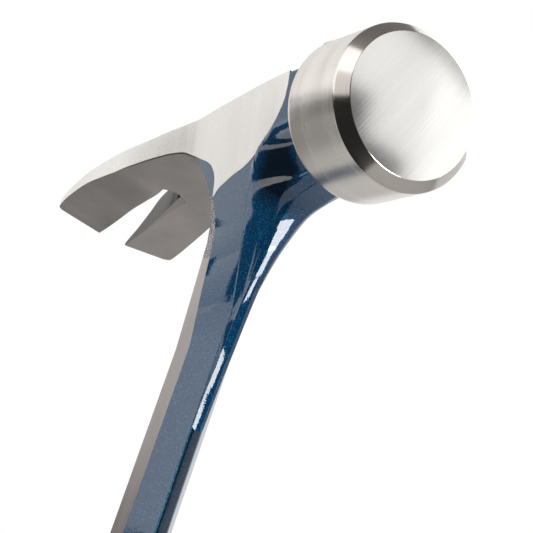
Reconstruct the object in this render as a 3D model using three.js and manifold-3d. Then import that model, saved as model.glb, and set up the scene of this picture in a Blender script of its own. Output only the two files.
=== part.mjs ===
// A framing hammer: one steel forging (striking end, neck, cheeks, claws, shank and tang),
// with a grip of leather washers threaded on the tang between a collar and a butt cap.
// Millimetres, +Z up. The hammer stands on its butt: the origin is the middle of the butt
// face, the shank runs up Z, the striking face looks along +X and the claws along -X.
// The forging is drawn in head coordinates, whose origin is the middle of the striking
// face, and is then moved to its place.

import * as THREE from 'three';
import { mergeVertices } from 'three/addons/utils/BufferGeometryUtils.js';
import Module from 'manifold-3d';

const wasm = await Module();
wasm.setup();

// Whole hammer
const overallLength = 406;
const headLength = 159;
const headReach = 61.2;

// Striking end
const bellRadius = 19;
const bellLength = 21.5;
const faceChamfer = 2.6;
const faceCrown = 0.5;
const heelRound = 2.4;
const heelSlope = 3;

// Neck, between the striking end and the cheeks
const neckRadius = 12.4;
const neckLength = 18;
const neckFillet = 5;
const neckFlare = 3;
const neckTail = 7;

// Cheeks, the flat ground sides of the head
const cheekWidth = 26;
const cheekEdge = 0.8;
const cheekProud = 0.4;

// Claws
const clawSpread = 42.4;
const clawDrop = 20.8;
const throatRadius = 16;

// Nail slot between the claws
const slotLength = 40.5;
const slotMouth = 9.6;
const slotThroat = 5.8;
const slotBevel = 1.3;

// Shank, an eight-sided bar with narrow flats front and back
const shankDepth = 21.2;
const shankThickness = 11.6;
const shankSideFlat = 7.2;
const shankEdgeFlat = 2.6;
const frontFillet = 43.4;
const frontFilletStart = 56;
const sideFlatFade = 30;
const backCornerFade = 42;

// Grip
const gripLength = 166;
const gripDepth = 34;
const gripWidth = 27;
const collarThickness = 5;
const capHeight = 9;
const capRound = 2.4;
const spacerThickness = 1.6;
const tangDepth = 13;
const tangWidth = 6.4;
const tangFoot = 1.5;
const tangFootHeight = 2.5;
const tangClearance = 0.3;
const shoulderClearance = 0.3;
const washerGap = 0.05;
const cutOverrun = 6;

// Counts and shares
const bellSides = 56;
const gripSides = 32;
const leatherWashers = 36;
const spacersAtEachEnd = 3;
const cheekTaperShare = 0.2;
const noseSteps = 5;
const noseExponent = 1.7;
const arcSteps = 8;
const crownSteps = 3;
const roundSteps = 4;
const neckTailShare = 0.75;

const bellAxisHeight = overallLength - bellRadius;
const cheekTop = neckRadius;
const cheekFront = -bellLength - neckLength;
const shankFront = -headReach + shankDepth / 2;
const shankBack = -headReach - shankDepth / 2;

const steel = { color: 0xd6d0c8, roughness: 0.3, metalness: 1 };
const leather = { color: 0x8a5230, roughness: 0.65, metalness: 0 };
const blueFibre = { color: 0x1d3f78, roughness: 0.5, metalness: 0 };
const capSteel = { color: 0xb9b5ae, roughness: 0.4, metalness: 1 };

// Geometry helpers

function toSolid(geometry) {
  const bare = geometry.clone();
  bare.deleteAttribute('normal');
  bare.deleteAttribute('uv');
  const merged = mergeVertices(bare);
  return new wasm.Manifold(new wasm.Mesh({
    numProp: 3,
    vertProperties: new Float32Array(merged.attributes.position.array),
    triVerts: new Uint32Array(merged.index.array),
  }));
}

function toGeometry(solid) {
  const mesh = solid.getMesh();
  const geometry = new THREE.BufferGeometry();
  geometry.setAttribute('position', new THREE.BufferAttribute(mesh.vertProperties, 3));
  geometry.setIndex(new THREE.BufferAttribute(mesh.triVerts, 1));
  geometry.computeVertexNormals();
  return geometry;
}

// A closed skin through rings of points, each ring anticlockwise seen from the far end.
function loft(rings) {
  const count = rings[0].length;
  const points = rings.flat();
  const middles = [rings[0], rings[rings.length - 1]].map((ring) => {
    const middle = new THREE.Vector3();
    ring.forEach((point) => middle.addScaledVector(point, 1 / count));
    return middle;
  });
  const triangles = [];
  for (let side = 0; side < count; side += 1) {
    const next = (side + 1) % count;
    for (let ring = 0; ring < rings.length - 1; ring += 1) {
      const low = ring * count;
      const high = low + count;
      triangles.push(low + side, low + next, high + next);
      triangles.push(low + side, high + next, high + side);
    }
    const last = (rings.length - 1) * count;
    triangles.push(points.length, next, side);
    triangles.push(points.length + 1, last + side, last + next);
  }
  const geometry = new THREE.BufferGeometry();
  geometry.setFromPoints([...points, ...middles]);
  geometry.setIndex(triangles);
  return geometry;
}

// The other half of a ring whose first half lies at negative y and ends on y = 0 or off it.
function mirrored(half) {
  const other = half.filter((point) => point.y !== 0).reverse();
  return [...half, ...other.map((point) => new THREE.Vector3(point.x, -point.y, point.z))];
}

function mix(from, to, share) {
  return from + (to - from) * share;
}

// The value at a place between hand-chosen stations, joined by straight lines.
function along(places, values, place) {
  let upper = places.findIndex((station) => station >= place);
  if (upper < 0) upper = places.length - 1;
  const lower = Math.max(upper - 1, 0);
  const run = places[upper] - places[lower];
  const share = run > 0 ? (place - places[lower]) / run : 0;
  return mix(values[lower], values[upper], Math.min(Math.max(share, 0), 1));
}

// Head shapes, in head coordinates

// Half the width of the head where its ground sides run on down to height z.
function cheekHalf(z) {
  return cheekWidth / 2 - cheekTaperShare * (cheekTop - z);
}

function strikingEnd() {
  const faceRadius = bellRadius - faceChamfer;
  const profile = [];
  for (let step = 0; step <= crownSteps; step += 1) {
    const share = step / crownSteps;
    profile.push(new THREE.Vector2(faceRadius * share, -faceCrown * share * share));
  }
  profile.push(new THREE.Vector2(bellRadius, -faceCrown - faceChamfer));
  for (let step = 0; step <= roundSteps; step += 1) {
    const angle = (step / roundSteps) * (Math.PI / 2);
    profile.push(new THREE.Vector2(
      bellRadius - heelRound * (1 - Math.cos(angle)),
      heelRound * (1 - Math.sin(angle)) - bellLength,
    ));
  }
  const filletEnd = -bellLength - heelSlope - neckFillet;
  for (let step = 0; step <= roundSteps; step += 1) {
    const angle = (step / roundSteps) * (Math.PI / 2);
    profile.push(new THREE.Vector2(
      neckRadius + neckFlare * (1 - Math.sin(angle)),
      filletEnd + neckFillet * Math.cos(angle),
    ));
  }
  profile.push(new THREE.Vector2(neckRadius, cheekFront));
  profile.push(new THREE.Vector2(neckRadius * neckTailShare, cheekFront - neckTail));
  profile.push(new THREE.Vector2(0, cheekFront - neckTail));
  const geometry = new THREE.LatheGeometry(profile.reverse(), bellSides);
  geometry.rotateZ(-Math.PI / 2);
  return toSolid(geometry);
}

// Stations from the cheeks' front edge (0) to the claw tips (1), with the height of the top
// line and of the underside as shares of the claw drop, measured up from the tips, and the
// widening towards the claw spread.
const clawPlaceShares = [
  0, 0.006, 0.019, 0.042, 0.068, 0.088, 0.109, 0.148, 0.181, 0.214, 0.247, 0.266,
  0.284, 0.322, 0.362, 0.424, 0.508, 0.6, 0.69, 0.79, 0.877, 0.936, 0.972, 1,
];
const clawTopShares = [
  1, 0.995, 0.985, 0.97, 0.957, 0.95, 0.943, 0.93, 0.92, 0.912, 0.906, 0.905,
  0.905, 0.905, 0.903, 0.895, 0.87, 0.82, 0.745, 0.64, 0.5, 0.365, 0.25, 0.06,
];
const clawUnderShares = [
  0.84, 0.7, 0.55, 0.39, 0.265, 0.164, 0.077, -0.01, -0.048, -0.106, -0.173, -0.24,
  0.096, 0.212, 0.308, 0.385, 0.413, 0.399, 0.351, 0.293, 0.197, 0.13, 0.085, 0,
];
const clawSpreadShares = [
  0, -0.005, -0.01, -0.02, -0.03, -0.035, -0.04, -0.05, -0.06, -0.06, -0.05, -0.045,
  -0.04, -0.02, 0.02, 0.12, 0.25, 0.4, 0.58, 0.77, 0.92, 1.01, 1.02, 0.98,
];
const clawRun = headLength + cheekFront;
const clawTipHeight = cheekTop - clawDrop;
const clawPlaces = clawPlaceShares.map((share) => cheekFront - share * clawRun);
const clawPlacesOut = clawPlaces.map((place) => -place);

function clawUnder(x) {
  return clawTipHeight + clawDrop * along(clawPlacesOut, clawUnderShares, -x);
}

function cheeksAndClaws() {
  const rings = clawPlaces.map((x, station) => {
    const top = clawTipHeight + clawDrop * clawTopShares[station];
    const under = clawTipHeight + clawDrop * clawUnderShares[station];
    const half = mix(cheekWidth, clawSpread, clawSpreadShares[station]) / 2;
    const edge = Math.min(cheekEdge, (top - under) / 4);
    const halfUnder = half - cheekTaperShare * (top - under);
    return mirrored([
      new THREE.Vector3(x, edge - half, top),
      new THREE.Vector3(x, -half, top - edge),
      new THREE.Vector3(x, -halfUnder, under + edge),
      new THREE.Vector3(x, edge - halfUnder, under),
    ].reverse());
  });
  return toSolid(loft(rings));
}

// Half the width of the nail slot at x, from its rounded end to the claw tips.
function slotHalf(x) {
  const share = (x + headLength) / slotLength;
  return mix(slotMouth, slotThroat, share) / 2;
}

function slotRing(grow, height) {
  const tip = -headLength - cutOverrun;
  const roundStart = slotLength - headLength - slotThroat / 2;
  const half = [new THREE.Vector3(tip, -slotHalf(tip) - grow, height(tip))];
  half.push(new THREE.Vector3(-headLength, -slotHalf(-headLength) - grow, height(-headLength)));
  for (let step = 1; step <= 3; step += 1) {
    const x = mix(-headLength, roundStart, step / 4);
    half.push(new THREE.Vector3(x, -slotHalf(x) - grow, height(x)));
  }
  for (let step = 0; step <= roundSteps; step += 1) {
    const angle = (step / roundSteps) * (Math.PI / 2);
    const x = roundStart + (slotThroat / 2 + grow) * Math.sin(angle);
    const y = step < roundSteps ? -(slotHalf(roundStart) + grow) * Math.cos(angle) : 0;
    half.push(new THREE.Vector3(x, y, height(x)));
  }
  return mirrored(half);
}

function nailSlot() {
  const through = loft([
    slotRing(0, () => clawTipHeight - cutOverrun),
    slotRing(0, () => cheekTop + cutOverrun),
  ]);
  const bevel = loft([
    slotRing(slotBevel * 2, (x) => clawUnder(x) - slotBevel),
    slotRing(0, (x) => clawUnder(x) + slotBevel),
  ]);
  return toSolid(through).add(toSolid(bevel));
}

// The body below and in front of the cheeks, in level sections from the shank up.

// The back line of the shank and the throat under the claws.
function backLine(z) {
  const middle = clawUnder(shankBack - throatRadius) - throatRadius;
  if (z <= middle) return shankBack;
  const rise = Math.min((z - middle) / throatRadius, 1);
  return shankBack - throatRadius * (1 - Math.sqrt(1 - rise * rise));
}

// The front line, which sweeps up to the back of the striking end.
function frontLine(z) {
  const rise = Math.min(Math.max((z + frontFilletStart) / frontFillet, 0), 1);
  const sweep = frontFillet * (1 - Math.sqrt(1 - rise * rise));
  return Math.min(shankFront + sweep, -bellLength + heelSlope * 0.2);
}

// The edge where the side facet meets the front, which follows the cheeks higher up.
const frontEdgeHeightShares = [-3.5, -2, -1.35, -0.82, -0.45, -0.3, -0.1, 0.12, 0.5];
const frontEdgeShares = [0, -0.03, -0.14, -0.15, -0.04, 0.16, 0.45, 0.68, 0.93];

function frontEdge(z) {
  const share = along(frontEdgeHeightShares, frontEdgeShares, z / cheekTop);
  return shankFront + share * (cheekFront - shankFront);
}

// How far up from the start of the front fillet a height lies, as a share of a run.
function riseShare(z, run) {
  return Math.min(Math.max((z + frontFilletStart) / run, 0), 1);
}

function levelSection(z) {
  const side = Math.max(shankThickness / 2, cheekHalf(z) - cheekProud);
  const edge = Math.max(shankEdgeFlat / 2, cheekHalf(z) - cheekProud * 1.5);
  const fade = riseShare(z, sideFlatFade);
  const back = backLine(z);
  const flatBack = -headReach - shankSideFlat / 2;
  const flatFront = -headReach + shankSideFlat / 2;
  const corner = mix(flatBack, shankBack + cheekEdge, riseShare(z, backCornerFade));
  const front = mix(flatFront, corner + cheekEdge / 2, fade * fade);
  const half = [
    new THREE.Vector3(back, -edge, z),
    new THREE.Vector3(corner, -side, z),
    new THREE.Vector3(front, -side, z),
    new THREE.Vector3(frontEdge(z), -edge, z),
  ];
  const nose = frontLine(z) - frontEdge(z);
  for (let step = 1; step <= noseSteps; step += 1) {
    const turn = (step / noseSteps) * (Math.PI / 2);
    const reach = Math.pow(Math.sin(turn), 2 / noseExponent);
    const width = step < noseSteps ? Math.pow(Math.cos(turn), 2 / noseExponent) : 0;
    half.push(new THREE.Vector3(frontEdge(z) + nose * reach, -edge * width, z));
  }
  return mirrored(half);
}

function shankAndBody() {
  const shoulder = gripLength - bellAxisHeight + shoulderClearance;
  const heights = [shoulder, -frontFilletStart - shankDepth];
  const top = cheekTop / 2;
  const sweepTop = -cheekTop * 1.2;
  for (let step = 0; step <= arcSteps * 2; step += 1) {
    heights.push(mix(-frontFilletStart, sweepTop, step / (arcSteps * 2)));
  }
  for (let step = 1; step <= arcSteps; step += 1) {
    heights.push(mix(sweepTop, top, step / arcSteps));
  }
  return toSolid(loft(heights.map(levelSection)));
}

// The tang and its foot, spread over in the butt cap so that it holds the grip on.
function tangRing(grow, z) {
  const halfDepth = tangDepth / 2 + grow;
  const halfWidth = tangWidth / 2 + grow;
  return mirrored([new THREE.Vector3(-halfDepth, -halfWidth, z), new THREE.Vector3(halfDepth, -halfWidth, z)]);
}

function tang(grow, top, overrun) {
  const flare = tangFoot * (1 + overrun / tangFootHeight);
  return toSolid(loft([
    tangRing(grow + flare, -overrun),
    tangRing(grow, tangFootHeight),
    tangRing(grow, top),
  ]));
}

function forging() {
  const shankOverlap = shankDepth / 2;
  const head = strikingEnd()
    .add(cheeksAndClaws())
    .add(shankAndBody())
    .subtract(nailSlot())
    .translate([headReach, 0, bellAxisHeight]);
  return toGeometry(head.add(tang(0, gripLength + shankOverlap, 0)));
}

// Grip shapes

// The grip's outline at height z: full at the butt, slim at the waist, full again in the
// palm and slim at the collar.
const gripSwellShares = [1, 0.93, 0.87, 0.88, 0.92, 0.93, 0.88, 0.8, 0.74];
const gripSwell = new THREE.SplineCurve(
  gripSwellShares.map((share, step) => new THREE.Vector2(step / (gripSwellShares.length - 1), share)),
);

function gripRing(z, shrink) {
  const share = Math.min(Math.max(z / gripLength, 0), 1);
  const swell = gripSwell.getPoint(share).y;
  const ring = [];
  for (let side = 0; side < gripSides; side += 1) {
    const angle = (side / gripSides) * Math.PI * 2;
    ring.push(new THREE.Vector3(
      (gripDepth / 2 * swell - shrink) * Math.cos(angle),
      (gripWidth / 2 * swell - shrink) * Math.sin(angle),
      z,
    ));
  }
  return ring;
}

function threaded(skin) {
  return toGeometry(toSolid(skin).subtract(tang(tangClearance, gripLength + cutOverrun, cutOverrun)));
}

function washer(bottom, thickness) {
  return threaded(loft([gripRing(bottom, 0), gripRing(bottom + thickness, 0)]));
}

function buttCap() {
  const rings = [];
  for (let step = 0; step <= roundSteps; step += 1) {
    const angle = (step / roundSteps) * (Math.PI / 2);
    rings.push(gripRing(capRound * (1 - Math.cos(angle)), capRound * (1 - Math.sin(angle))));
  }
  rings.push(gripRing(capHeight, 0));
  return threaded(loft(rings));
}

function topCollar(bottom) {
  const top = bottom + collarThickness;
  const round = collarThickness * 0.4;
  const rings = [gripRing(bottom, 0), gripRing(top - round, 0)];
  for (let step = 1; step <= roundSteps; step += 1) {
    const angle = (step / roundSteps) * (Math.PI / 2);
    rings.push(gripRing(top - round * (1 - Math.sin(angle)), round * (1 - Math.cos(angle))));
  }
  return threaded(loft(rings));
}

// Assembly

const hammer = new THREE.Group();

function add(name, geometry, look) {
  const mesh = new THREE.Mesh(geometry, new THREE.MeshStandardMaterial(look));
  mesh.name = name;
  hammer.add(mesh);
}

function numbered(name, number) {
  return `${name}_${String(number).padStart(2, '0')}`;
}

add('forged_head_and_shank', forging(), steel);
add('butt_cap', buttCap(), capSteel);

const spacers = spacersAtEachEnd * 2;
const stackBottom = capHeight + washerGap;
const stackTop = gripLength - collarThickness;
const gaps = leatherWashers + spacers;
const leatherLength = stackTop - stackBottom - spacers * spacerThickness - gaps * washerGap;
const leatherThickness = leatherLength / leatherWashers;

let level = stackBottom;
let spacerNumber = 1;

function addSpacers() {
  for (let count = 0; count < spacersAtEachEnd; count += 1) {
    add(numbered('fibre_spacer', spacerNumber), washer(level, spacerThickness), blueFibre);
    spacerNumber += 1;
    level += spacerThickness + washerGap;
  }
}

addSpacers();
for (let number = 1; number <= leatherWashers; number += 1) {
  add(numbered('leather_washer', number), washer(level, leatherThickness), leather);
  level += leatherThickness + washerGap;
}
addSpacers();
add('top_collar', topCollar(level), capSteel);

export default hammer;
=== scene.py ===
# %% [markdown]
# This hammer is one steel forging: a round striking end, a neck, flat ground cheeks, two claws
# and a long shank that ends in a tang. Leather washers are threaded on the tang and squeezed
# between a collar and a butt cap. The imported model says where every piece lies, so it is
# loaded first and each new piece is measured from it.

import math

import bmesh
import bpy
from mathutils import Matrix, Vector


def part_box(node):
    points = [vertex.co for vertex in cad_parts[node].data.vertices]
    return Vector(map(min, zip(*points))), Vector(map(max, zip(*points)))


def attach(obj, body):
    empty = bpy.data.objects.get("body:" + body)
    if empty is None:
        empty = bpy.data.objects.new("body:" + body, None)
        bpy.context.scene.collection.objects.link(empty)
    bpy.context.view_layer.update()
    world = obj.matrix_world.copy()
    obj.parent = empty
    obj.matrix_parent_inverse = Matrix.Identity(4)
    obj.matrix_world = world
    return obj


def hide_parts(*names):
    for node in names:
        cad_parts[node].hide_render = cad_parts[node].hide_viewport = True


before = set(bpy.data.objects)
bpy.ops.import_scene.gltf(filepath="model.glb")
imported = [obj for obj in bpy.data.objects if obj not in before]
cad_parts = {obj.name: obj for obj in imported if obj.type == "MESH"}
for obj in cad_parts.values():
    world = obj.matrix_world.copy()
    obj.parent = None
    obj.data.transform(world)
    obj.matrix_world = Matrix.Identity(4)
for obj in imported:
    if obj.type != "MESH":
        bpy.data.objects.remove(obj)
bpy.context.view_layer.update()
forging_low, forging_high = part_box("forged_head_and_shank")

# %% [markdown]
# All sizes are in metres. The head is drawn from the middle of the striking face: how far
# back from the face, how far across and how far up from the axis of the striking end. The
# frame gives the face, the claw tips and the height of the axis.

# %% Head coordinates
bell_radius = 0.019
face_x = forging_high.x
axis_height = forging_high.z - bell_radius
head_length = face_x - forging_low.x


def at(back, across, up):
    """A point given from the middle of the striking face."""
    return Vector((face_x - back, across, axis_height + up))


def mix(start, end, share):
    return start + (end - start) * share


def clamp(value, low=0.0, high=1.0):
    return min(max(value, low), high)


print("axis height", round(axis_height, 4), "head length", round(head_length, 4))

# %% [markdown]
# The camera comes early, because every look is judged through it. The photograph was taken
# from below and in front of the head, on its near side, so the camera looks up along the
# shank's front. Its place and its three axes are given from the striking face.

# %% Camera
lens_width = 36.0
lens_length = 81.05
camera_back, camera_across, camera_up = -0.2026, -0.1199, -0.1156
camera_right = Vector((0.4980, 0.8100, 0.3097)).normalized()
camera_top = Vector((0.1031, -0.4099, 0.9063)).normalized()
camera_behind = camera_right.cross(camera_top).normalized()

camera_data = bpy.data.cameras.new("photo_camera")
camera_data.lens = lens_length
camera_data.sensor_width = lens_width
camera_data.clip_start = 0.01
camera = bpy.data.objects.new("photo_camera", camera_data)
bpy.context.scene.collection.objects.link(camera)
turn = Matrix((camera_right, camera_behind.cross(camera_right), camera_behind)).transposed()
camera.matrix_world = Matrix.Translation(at(camera_back, camera_across, camera_up)) @ turn.to_4x4()
bpy.context.scene.camera = camera
print("camera at", [round(value, 4) for value in camera.location])

# %% [markdown]
# Nearly every form here is a bar whose section changes along its run: the bell, the neck, the
# claws, the shank, a washer. By hand one adds a circle, fills it, and extrudes and reshapes it
# again and again. The helper below does just that, with one outline for each extrusion.

# %% Modelling helpers
def deselect_all():
    if bpy.context.object and bpy.context.object.mode != "OBJECT":
        bpy.ops.object.mode_set(mode="OBJECT")
    bpy.ops.object.select_all(action="DESELECT")


def pick(piece):
    deselect_all()
    piece.select_set(True)
    bpy.context.view_layer.objects.active = piece


ring_tolerance = 0.00001


def skin_through(name, outlines, side_look=0):
    """Add a filled circle, set it on the first outline and extrude it through the others."""
    deselect_all()
    bpy.ops.mesh.primitive_circle_add(
        vertices=len(outlines[0]), radius=bell_radius, fill_type="NGON")
    piece = bpy.context.object
    piece.name = name
    piece.data.name = name
    bpy.ops.object.mode_set(mode="EDIT")
    mesh = bmesh.from_edit_mesh(piece.data)
    mesh.faces.ensure_lookup_table()
    order = [vert.index for vert in mesh.faces[0].verts]
    for vert in mesh.verts:
        vert.co = outlines[0][vert.index]
    for step, outline in enumerate(outlines[1:]):
        bmesh.update_edit_mesh(piece.data)
        bpy.ops.mesh.extrude_region_move()
        mesh = bmesh.from_edit_mesh(piece.data)
        cap = next(face for face in mesh.faces if face.select)
        for vert, place in zip(cap.verts, order):
            if (vert.co - outlines[step][place]).length > ring_tolerance:
                raise ValueError(f"{name}: the extruded ring {step} came out in another order")
            vert.co = outline[place]
        for edge in cap.edges:
            for face in edge.link_faces:
                if face is not cap:
                    face.material_index = side_look
    bmesh.update_edit_mesh(piece.data)
    bpy.ops.mesh.select_all(action="SELECT")
    bpy.ops.mesh.normals_make_consistent(inside=False)
    bpy.ops.object.mode_set(mode="OBJECT")
    return piece


def both_sides(half):
    """A whole outline from its near half, which has no point on the middle."""
    return half + [Vector((point.x, -point.y, point.z)) for point in reversed(half)]


def apply_modifier(piece, kind, **settings):
    pick(piece)
    modifier = piece.modifiers.new(kind.lower(), kind)
    for name, value in settings.items():
        setattr(modifier, name, value)
    bpy.ops.object.modifier_apply(modifier=modifier.name)


def curve_through(places, values, place):
    """A smooth curve through given stations, without the overshoot of a plain spline."""
    last = len(places) - 1
    place = clamp(place, places[0], places[last])
    step = next(index for index in range(last) if place <= places[index + 1])
    slopes = [
        (values[index + 1] - values[index]) / (places[index + 1] - places[index])
        for index in range(last)
    ]

    def tangent(index):
        if index in (0, last):
            return slopes[min(index, last - 1)]
        before, after = slopes[index - 1], slopes[index]
        return 0.0 if before * after <= 0 else 2 * before * after / (before + after)

    run = places[step + 1] - places[step]
    share = (place - places[step]) / run
    square, cube = share ** 2, share ** 3
    return (
        (2 * cube - 3 * square + 1) * values[step]
        + (cube - 2 * square + share) * run * tangent(step)
        + (3 * square - 2 * cube) * values[step + 1]
        + (cube - square) * run * tangent(step + 1)
    )


print("helpers ready")

# %% [markdown]
# The forging carries several finishes, so their order in the material slots is settled before
# any face is made. Each face takes its finish's number while it is modelled, and the numbers
# stay with the faces when the solids are joined.

# %% Finishes of the forging
FINISHES = [
    "polished_cheek", "ground_claw", "satin_bell", "dark_chamfer", "brushed_face", "blue_paint",
    "shank_flat", "nail_slot", "worn_corner", "thin_paint_glint",
]
POLISHED, GROUND, SATIN, CHAMFER, FACE, PAINT, FLAT, SLOT, WORN, THIN_GLINT = range(len(FINISHES))
forging_materials = [bpy.data.materials.new(name) for name in FINISHES]


def give_slots(piece):
    for made in forging_materials:
        piece.data.materials.append(made)


def give_looks(piece, look_of):
    """Give each face the number of its finish."""
    for face in piece.data.polygons:
        face.material_index = look_of(face)
    print(piece.name, len(piece.data.polygons), "faces")


print("finishes", len(FINISHES))

# %% [markdown]
# The striking end is turned on a lathe: a slightly crowned face, a wide chamfer and a rounded
# heel. A spun profile would do, and so does a circle extruded along the axis, which keeps the
# rings of every form here made the same way. Small round steps at each corner catch the light.
# The end swells a little towards its heel and points a little down, so its rings rise.

# %% Striking end
bell_length = 0.0229
heel_radius = 0.0195
face_edge = 0.0165
face_drop = 0.0006
face_crown = 0.0013
chamfer_depth = 0.0028
corner_round = 0.00035
inner_round = 0.00012
heel_round = 0.0022
bell_droop = 0.05
bell_sides = 128
crown_rings = 10
face_slope, chamfer_slope = 0.95, 0.3
QUARTERS = (0.25, 0.5, 0.75)


def rounded_corner(before, corner, after, size, steps=3):
    """Points that round a corner of a profile given as (back, radius) pairs."""
    start = corner + (before - corner).normalized() * size
    end = corner + (after - corner).normalized() * size
    points = []
    for step in range(steps + 1):
        share = step / steps
        points.append(start.lerp(corner, share).lerp(corner.lerp(end, share), share))
    return points


def bell_profile():
    shares = [step / crown_rings for step in range(1, crown_rings)]
    crown = [
        Vector((face_drop - face_crown * (1 - share ** 2), face_edge * share))
        for share in shares
    ]
    inner = Vector((face_drop, face_edge))
    outer = Vector((face_drop + chamfer_depth, bell_radius))
    heel = Vector((bell_length, heel_radius))
    end = Vector((bell_length, heel_radius - heel_round * 2))
    return (
        crown
        + rounded_corner(crown[-1], inner, outer, inner_round)
        + rounded_corner(inner, outer, heel, corner_round)
        + [outer.lerp(heel, share) for share in QUARTERS]
        + rounded_corner(outer, heel, end, heel_round, steps=8)
        + [end]
    )


def ring_round(back, radius, sides):
    turns = [2 * math.pi * step / sides for step in range(sides)]
    rise = back * bell_droop
    return [at(back, radius * math.cos(angle), radius * math.sin(angle) + rise) for angle in turns]


def bell_look(face):
    """The face, the chamfer and the side differ in how far they look to the front."""
    if face.center.x < face_x - bell_length / 2:
        return SATIN
    if face.normal.x > face_slope:
        return FACE
    return CHAMFER if face.normal.x > chamfer_slope else SATIN


bell_rings = [ring_round(point.x, point.y, bell_sides) for point in bell_profile()]
bell = skin_through("striking_end", bell_rings)
give_looks(bell, bell_look)

# %% [markdown]
# Behind the bell the neck is forged, not turned. Its flat sides carry on from the cheeks, its
# bottom is round, and from there a keel drops in a long hollow sweep to the front of the
# shank. The lines that the neck and the shank share come first, as stations read off the
# photograph: each is a place along the line and how far out the line lies there.

# %% Lines that the neck and the shank share
shank_front = 0.0506
shank_depth = 0.0212
shank_thickness = 0.0116
edge_flat = 0.0030
side_flat = 0.0072
shank_middle = shank_front + shank_depth / 2
shank_back = shank_front + shank_depth
cheek_half = 0.013
cheek_top = 0.0124
cheek_taper = 0.2
cheek_proud = 0.00006

sweep_ups = [
    -0.075, -0.064, -0.055, -0.049, -0.0438, -0.0387, -0.0337, -0.0288, -0.024, -0.0212, -0.0194,
    -0.018, -0.0167, -0.0157, -0.0150,
]
sweep_backs = [
    0.0505, 0.0495, 0.0484, 0.0477, 0.0470, 0.0461, 0.0447, 0.0430, 0.0402, 0.0382, 0.0365,
    0.0340, 0.0300, 0.0262, 0.0215,
]
edge_ups = [
    -0.060, -0.044, -0.028, -0.023, -0.0167, -0.0102, -0.0056, -0.0037, -0.0012, 0.0015, 0.0062,
    0.0124,
]
edge_backs = [
    0.0506, 0.0506, 0.0508, 0.0512, 0.0522, 0.0523, 0.0510, 0.0488, 0.0456, 0.0430, 0.0403,
    0.0395,
]


def cheek_plane(up):
    """Half the width of the head between its ground sides, run on down to any height."""
    return cheek_half - cheek_taper * (cheek_top - up)


def sweep_back(up):
    """How far back the front line lies at a height."""
    return curve_through(sweep_ups, sweep_backs, up)


def sweep_up(back):
    """The height of the front line at a distance from the face."""
    return curve_through(sweep_backs[::-1], sweep_ups[::-1], back)


def edge_back(up):
    """Where the side facet meets the front, which higher up follows the cheek's edge."""
    return curve_through(edge_ups, edge_backs, up)


def edge_half(up):
    return max(edge_flat / 2, cheek_plane(up) - cheek_proud)


print("front line starts", shank_front, "back from the face")

# %% [markdown]
# The neck is one skin of upright outlines. Each is the fuller of the flat-sided neck and the
# keel, with a soft change from one to the other, so the corner between them reads as forged.

# %% Section of the neck
neck_top = 0.0126
neck_bottom = 0.0146
neck_corner = 0.0008
neck_side_end = -0.0025
neck_lean = 0.05
neck_flare = 0.0030
neck_flare_run = 0.006
neck_flare_bend = 2.2
neck_start = bell_length - 0.0006
nose_crown = 0.00025
crown_most = 0.2
nose_most = 0.96
nose_round = 8
flank_lean = 0.65
keel_top = -0.002
blend_top = 0.004
blend_share = 0.3
front_slope, inner_slope = 0.35, 0.1
land_round = 0.0007
least_run = 0.00005
nose_ups = [-0.075, -0.050, -0.044, -0.038, -0.033, -0.028, -0.024, -0.020, -0.0167]
nose_halves = [0.0015, 0.0015, 0.0014, 0.0014, 0.00145, 0.00175, 0.0021, 0.0026, 0.0031]


def neck_flare_at(back):
    return neck_flare * clamp(1 - (back - neck_start) / neck_flare_run) ** neck_flare_bend


def side_half(back, up):
    """The neck's own half width: flat sides, rounded under, with a small round at the top."""
    flare = neck_flare_at(back)
    side_up = max(up, neck_side_end)
    lean = max(0.0, edge_back(side_up) - back) * neck_lean
    half = cheek_plane(side_up) - lean + flare
    if up < neck_side_end:
        drop = (neck_side_end - up) / (neck_side_end + neck_bottom)
        return half * math.sqrt(clamp(1 - drop ** 2))
    corner = neck_corner + flare
    over = clamp((up - (neck_top + flare - corner)) / corner)
    return half - corner * (1 - math.sqrt(1 - over ** 2))


def keel_half(back, up):
    """Half the width of the keel: a nearly flat nose, a small round, then the flanks."""
    low_up = min(up, keel_top)
    root, front, wide = edge_back(low_up), sweep_back(low_up), edge_half(low_up)
    if back >= root:
        return wide - inner_slope * (back - root)
    run = max(root - front, least_run)
    nose = min(curve_through(nose_ups, nose_halves, low_up), wide * nose_most)
    crown = min(nose_crown, run * crown_most)
    depth = back - front
    out = clamp((depth - crown) / (run - crown))
    half = nose * math.sqrt(clamp(depth / crown))
    half += (wide - nose) * (flank_lean * out + (1 - flank_lean) * (1 - (1 - out) ** nose_round))
    if up > low_up:
        half *= math.sqrt(clamp(1 - ((up - low_up) / (neck_top - low_up)) ** 2))
    return half


def neck_half(back, up, lowest):
    """The fuller of the two, kept inside the ground sides and never sharp underneath."""
    side, keel = side_half(back, up), keel_half(back, up)
    wide, slim = max(side, keel), min(side, keel)
    blend = wide * blend_share
    if blend > 0 and up < blend_top:
        fade = clamp((blend_top - up) / blend_top)
        fill = max(blend - (wide - slim), 0.0) ** 2 / (4 * blend)
        wide += fill * clamp(slim / (blend * 0.5)) * fade
    in_front = edge_back(up) - back
    slope = front_slope if in_front > 0 else inner_slope
    ground = cheek_plane(up) - cheek_proud + slope * in_front
    land = (edge_flat / 2) * math.sqrt(clamp((up - lowest) / land_round))
    return max(min(wide, ground), land)


print("neck half width at the axis", round(neck_half(neck_start, 0.0, -neck_bottom), 4))

# %% [markdown]
# The outlines are set close where the front line bends and end inside the bell and inside the
# shank, so that the joins lie in solid steel. Along each outline the points crowd towards the
# top and the bottom, where the section turns fastest.

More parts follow.
